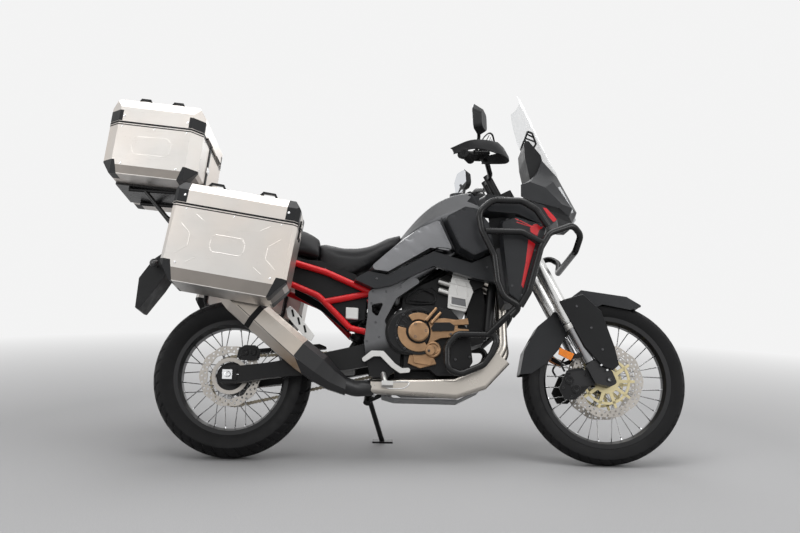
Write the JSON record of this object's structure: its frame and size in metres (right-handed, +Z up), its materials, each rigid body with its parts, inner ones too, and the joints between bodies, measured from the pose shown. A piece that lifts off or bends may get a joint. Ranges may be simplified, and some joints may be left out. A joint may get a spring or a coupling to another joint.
{
  "type": "adventure motorcycle",
  "caption": "Upright adventure motorcycle parked on its side stand, with wire-spoked wheels, crash bars, a tall clear screen and hard aluminium luggage.",
  "frame": {"origin": "centre of the bounding box's base, on the ground that the tyres and side-stand foot rest on", "axes": "+X towards the front wheel, +Y to the machine's left, where it leans, +Z up"},
  "size_m": [2.4838, 1.1505, 1.5744],
  "materials": {
    "frame_black": "semi-gloss black enamel",
    "frame_red": "gloss red enamel",
    "engine_black": "matte black casting",
    "cylinder_silver": "bare cast aluminium",
    "cover_bronze": "bronze painted casting",
    "exhaust_steel": "brushed stainless steel",
    "radiator_grey": "black fins",
    "tyre_rubber": "rubber with road tread",
    "rim_black": "black anodised",
    "disc_steel": "ground steel",
    "carrier_gold": "gold anodised",
    "chain_steel": "oiled steel",
    "body_dark": "dark grey satin",
    "body_silver": "silver-grey satin",
    "trim_black": "moulded black",
    "seat_cover": "grained vinyl",
    "screen_clear": "clear moulded screen",
    "lamp_clear": "clear lens",
    "lamp_red": "red lens",
    "box_aluminium": "brushed sheet",
    "fork_silver": "satin anodised",
    "cast_black": "black painted casting"
  },
  "bodies": {
    "chassis": {"chain_guard": "trim_black", "crash_bars_left": "frame_black", "crash_bars_right": "frame_black", "cylinder_block": "cylinder_silver", "drive_chain": "chain_steel", "engine": "engine_black", "engine_covers": "cover_bronze", "exhaust_headers": "exhaust_steel", "foot_controls": "trim_black", "fuel_tank": "body_dark", "headlights": "lamp_clear", "instrument_panel": "trim_black", "luggage_rack": "frame_black", "main_frame": "frame_black", "muffler": "exhaust_steel", "nose_cowl": "body_dark", "pannier_left": "box_aluminium", "pannier_racks": "frame_black", "pannier_right": "box_aluminium", "pillion_seat": "seat_cover", "plate_holder": "trim_black", "radiator_shrouds": "body_dark", "radiators": "radiator_grey", "rear_caliper": "cast_black", "rear_lights": "lamp_red", "rider_seat": "seat_cover", "shock_absorber": "engine_black", "side_panels": "body_silver", "skid_plate": "trim_black", "stand_bracket": "frame_black", "subframe": "frame_red", "swingarm": "engine_black", "tail_panel": "trim_black", "tank_covers": "body_dark", "top_case": "box_aluminium", "windscreen": "screen_clear"},
    "steering": {"fork_clamps": "cast_black", "fork_legs": "fork_silver", "fork_guards": "trim_black", "front_fender": "body_dark", "front_calipers": "cast_black", "handlebar": "frame_black", "hand_controls": "trim_black", "hand_guards": "trim_black", "mirrors": "trim_black"},
    "front_wheel": {"front_tyre": "tyre_rubber", "front_wheel_rim": "rim_black", "front_discs": "disc_steel", "front_disc_carriers": "carrier_gold"},
    "rear_wheel": {"rear_tyre": "tyre_rubber", "rear_wheel_rim": "rim_black", "rear_disc": "disc_steel", "rear_sprocket": "disc_steel"},
    "side_stand": {"side_stand": "frame_black"},
    "top_lid": {"top_case_lid": "box_aluminium"},
    "pannier_right_lid": {"pannier_right_lid": "box_aluminium"},
    "pannier_left_lid": {"pannier_left_lid": "box_aluminium"}
  },
  "joints": [
    {"name": "steering_turn", "type": "hinge", "parent": "chassis", "child": "steering", "pos_m": [0.54575, -0.02309, 0.85855], "axis": [-0.4612, 0.2296, 0.8571], "range_deg": [-38, 38]},
    {"name": "front_wheel_spin", "type": "hinge", "parent": "steering", "child": "front_wheel", "pos_m": [0.89416, -0.16268, 0.33739], "axis": [-0.0002, 0.9659, -0.2588], "continuous": true},
    {"name": "rear_wheel_spin", "type": "hinge", "parent": "chassis", "child": "rear_wheel", "pos_m": [-0.68085, -0.16638, 0.3246], "axis": [-0.0002, 0.9659, -0.2588], "continuous": true},
    {"name": "stand_fold", "type": "hinge", "parent": "chassis", "child": "side_stand", "pos_m": [-0.10936, -0.03672, 0.22857], "axis": [0.1377, 0.7593, 0.636], "range_deg": [0, 97]},
    {"name": "top_lid_hinge", "type": "hinge", "parent": "chassis", "child": "top_lid", "pos_m": [-0.82152, 0.09514, 1.30068], "axis": [-0.0002, 0.9659, -0.2588], "range_deg": [0, 90]},
    {"name": "pannier_right_lid_hinge", "type": "hinge", "parent": "chassis", "child": "pannier_right_lid", "pos_m": [-0.88466, -0.37714, 1.03919], "axis": [0.0002, -0.9659, 0.2588], "range_deg": [0, 90]},
    {"name": "pannier_left_lid_hinge", "type": "hinge", "parent": "chassis", "child": "pannier_left_lid", "pos_m": [-0.88479, 0.37338, 0.83809], "axis": [0.0002, -0.9659, 0.2588], "range_deg": [0, 90]}
  ]
}
